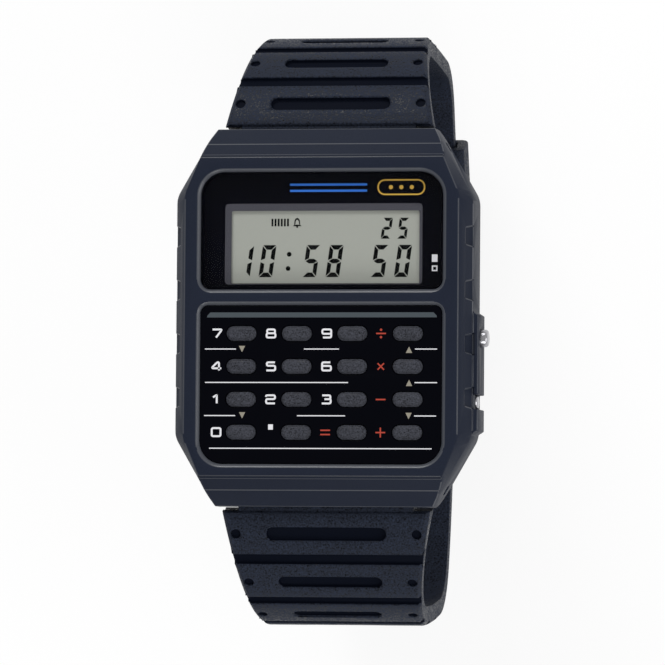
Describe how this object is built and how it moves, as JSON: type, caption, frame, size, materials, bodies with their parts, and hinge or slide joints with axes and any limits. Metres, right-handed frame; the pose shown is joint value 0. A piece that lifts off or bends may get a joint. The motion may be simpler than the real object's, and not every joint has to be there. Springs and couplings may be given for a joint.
{
  "type": "calculator watch",
  "caption": "Octagonal resin wrist watch with a digital display, a pressable calculator keypad, side buttons, and a hinged strap with keeper and buckle, closed as worn.",
  "frame": {"origin": "centre of the case back's wrist face", "axes": "+Z out of the dial, +Y to 12 o'clock, +X to 3 o'clock"},
  "size_m": [0.0357, 0.0686, 0.0506],
  "materials": {
    "case_resin": "moulded resin, semi-matt blue-black",
    "strap_resin": "moulded soft resin, fine matt grain",
    "clear_glass": "clear moulded window",
    "black_rubber": "black rubber seal",
    "printed_black": "black print behind the window",
    "gloss_black": "gloss black with printed digits",
    "grey_rubber": "conductive rubber sheet",
    "key_grey": "fine textured dark grey key",
    "module_plastic": "moulded module frame",
    "board_green": "solder-masked circuit board",
    "display_glass": "grey-green reflective display",
    "silver_film": "silvered film",
    "zebra_rubber": "striped connector rubber",
    "chip_black": "moulded chip",
    "nickel": "plated can",
    "spring_brass": "rolled brass",
    "cell_steel": "plated cell can",
    "steel": "plain steel",
    "polished_steel": "polished steel",
    "brushed_plate": "brushed stainless plate",
    "film_yellow": "insulating film"
  },
  "bodies": {
    "case": {"case_body": "case_resin", "front_glass": "clear_glass", "glass_seal": "black_rubber", "window_mask": "printed_black", "keypad_panel": "gloss_black", "key_rubber_sheet": "grey_rubber", "module_frame": "module_plastic", "circuit_board": "board_green", "lcd_panel": "display_glass", "lcd_reflector": "silver_film", "connector_strips": "zebra_rubber", "driver_chip": "chip_black", "quartz_crystal": "nickel", "switch_contacts": "spring_brass", "button_cell": "cell_steel", "cell_clip": "steel", "insulating_film": "film_yellow", "sounder_disc": "spring_brass", "sounder_spring": "steel", "case_back": "brushed_plate", "back_screws": "steel", "back_gasket": "black_rubber", "button_seals": "black_rubber", "mode_spring": "steel", "adjust_spring": "steel", "spring_bar_12": "steel", "spring_bar_6": "steel"},
    "key_7": {"key_7": "key_grey"},
    "key_8": {"key_8": "key_grey"},
    "key_9": {"key_9": "key_grey"},
    "key_divide": {"key_divide": "key_grey"},
    "key_4": {"key_4": "key_grey"},
    "key_5": {"key_5": "key_grey"},
    "key_6": {"key_6": "key_grey"},
    "key_times": {"key_times": "key_grey"},
    "key_1": {"key_1": "key_grey"},
    "key_2": {"key_2": "key_grey"},
    "key_3": {"key_3": "key_grey"},
    "key_minus": {"key_minus": "key_grey"},
    "key_0": {"key_0": "key_grey"},
    "key_point": {"key_point": "key_grey"},
    "key_equals": {"key_equals": "key_grey"},
    "key_plus": {"key_plus": "key_grey"},
    "mode_pusher": {"mode_button": "polished_steel", "mode_clip": "steel"},
    "adjust_pusher": {"adjust_button": "polished_steel", "adjust_clip": "steel"},
    "strap_upper": {"strap_12": "strap_resin"},
    "strap_lower": {"strap_6": "strap_resin"},
    "strap_keeper": {"keeper": "strap_resin"},
    "buckle": {"buckle_frame": "case_resin", "buckle_bar": "steel"},
    "buckle_tang": {"tang": "polished_steel"}
  },
  "joints": [
    {"name": "key_7_press", "type": "slide", "parent": "case", "child": "key_7", "axis": [0, 0, -1], "range_m": [0, 0.00045], "stiffness_N_per_m": 2500, "springref_m": -0.0001, "deforming": ["key_rubber_sheet"]},
    {"name": "key_8_press", "type": "slide", "parent": "case", "child": "key_8", "axis": [0, 0, -1], "range_m": [0, 0.00045], "stiffness_N_per_m": 2500, "springref_m": -0.0001, "deforming": ["key_rubber_sheet"]},
    {"name": "key_9_press", "type": "slide", "parent": "case", "child": "key_9", "axis": [0, 0, -1], "range_m": [0, 0.00045], "stiffness_N_per_m": 2500, "springref_m": -0.0001, "deforming": ["key_rubber_sheet"]},
    {"name": "key_divide_press", "type": "slide", "parent": "case", "child": "key_divide", "axis": [0, 0, -1], "range_m": [0, 0.00045], "stiffness_N_per_m": 2500, "springref_m": -0.0001, "deforming": ["key_rubber_sheet"]},
    {"name": "key_4_press", "type": "slide", "parent": "case", "child": "key_4", "axis": [0, 0, -1], "range_m": [0, 0.00045], "stiffness_N_per_m": 2500, "springref_m": -0.0001, "deforming": ["key_rubber_sheet"]},
    {"name": "key_5_press", "type": "slide", "parent": "case", "child": "key_5", "axis": [0, 0, -1], "range_m": [0, 0.00045], "stiffness_N_per_m": 2500, "springref_m": -0.0001, "deforming": ["key_rubber_sheet"]},
    {"name": "key_6_press", "type": "slide", "parent": "case", "child": "key_6", "axis": [0, 0, -1], "range_m": [0, 0.00045], "stiffness_N_per_m": 2500, "springref_m": -0.0001, "deforming": ["key_rubber_sheet"]},
    {"name": "key_times_press", "type": "slide", "parent": "case", "child": "key_times", "axis": [0, 0, -1], "range_m": [0, 0.00045], "stiffness_N_per_m": 2500, "springref_m": -0.0001, "deforming": ["key_rubber_sheet"]},
    {"name": "key_1_press", "type": "slide", "parent": "case", "child": "key_1", "axis": [0, 0, -1], "range_m": [0, 0.00045], "stiffness_N_per_m": 2500, "springref_m": -0.0001, "deforming": ["key_rubber_sheet"]},
    {"name": "key_2_press", "type": "slide", "parent": "case", "child": "key_2", "axis": [0, 0, -1], "range_m": [0, 0.00045], "stiffness_N_per_m": 2500, "springref_m": -0.0001, "deforming": ["key_rubber_sheet"]},
    {"name": "key_3_press", "type": "slide", "parent": "case", "child": "key_3", "axis": [0, 0, -1], "range_m": [0, 0.00045], "stiffness_N_per_m": 2500, "springref_m": -0.0001, "deforming": ["key_rubber_sheet"]},
    {"name": "key_minus_press", "type": "slide", "parent": "case", "child": "key_minus", "axis": [0, 0, -1], "range_m": [0, 0.00045], "stiffness_N_per_m": 2500, "springref_m": -0.0001, "deforming": ["key_rubber_sheet"]},
    {"name": "key_0_press", "type": "slide", "parent": "case", "child": "key_0", "axis": [0, 0, -1], "range_m": [0, 0.00045], "stiffness_N_per_m": 2500, "springref_m": -0.0001, "deforming": ["key_rubber_sheet"]},
    {"name": "key_point_press", "type": "slide", "parent": "case", "child": "key_point", "axis": [0, 0, -1], "range_m": [0, 0.00045], "stiffness_N_per_m": 2500, "springref_m": -0.0001, "deforming": ["key_rubber_sheet"]},
    {"name": "key_equals_press", "type": "slide", "parent": "case", "child": "key_equals", "axis": [0, 0, -1], "range_m": [0, 0.00045], "stiffness_N_per_m": 2500, "springref_m": -0.0001, "deforming": ["key_rubber_sheet"]},
    {"name": "key_plus_press", "type": "slide", "parent": "case", "child": "key_plus", "axis": [0, 0, -1], "range_m": [0, 0.00045], "stiffness_N_per_m": 2500, "springref_m": -0.0001, "deforming": ["key_rubber_sheet"]},
    {"name": "mode_press", "type": "slide", "parent": "case", "child": "mode_pusher", "axis": [-1, 0, 0], "range_m": [0, 0.0007], "stiffness_N_per_m": 1500, "springref_m": -0.0003, "deforming": ["mode_spring"]},
    {"name": "adjust_press", "type": "slide", "parent": "case", "child": "adjust_pusher", "axis": [-1, 0, 0], "range_m": [0, 0.0005], "stiffness_N_per_m": 1500, "springref_m": -0.0003, "deforming": ["adjust_spring"]},
    {"name": "strap_12_hinge", "type": "hinge", "parent": "case", "child": "strap_upper", "pos_m": [0, 0.0196, 0.0026], "axis": [1, 0, 0], "range_deg": [0, 17]},
    {"name": "strap_6_hinge", "type": "hinge", "parent": "case", "child": "strap_lower", "pos_m": [0, -0.0196, 0.0026], "axis": [1, 0, 0], "range_deg": [0, 10]},
    {"name": "keeper_slide", "type": "slide", "parent": "strap_upper", "child": "strap_keeper", "axis": [0, -0.9397, -0.342], "range_m": [-0.0038, 0.0048]},
    {"name": "buckle_hinge", "type": "hinge", "parent": "strap_upper", "child": "buckle", "pos_m": [0, 0.00496, -0.04103], "axis": [1, 0, 0], "range_deg": [0, 55]},
    {"name": "tang_hinge", "type": "hinge", "parent": "buckle", "child": "buckle_tang", "pos_m": [0, 0.00496, -0.04103], "axis": [1, 0, 0], "range_deg": [0, 65]}
  ]
}
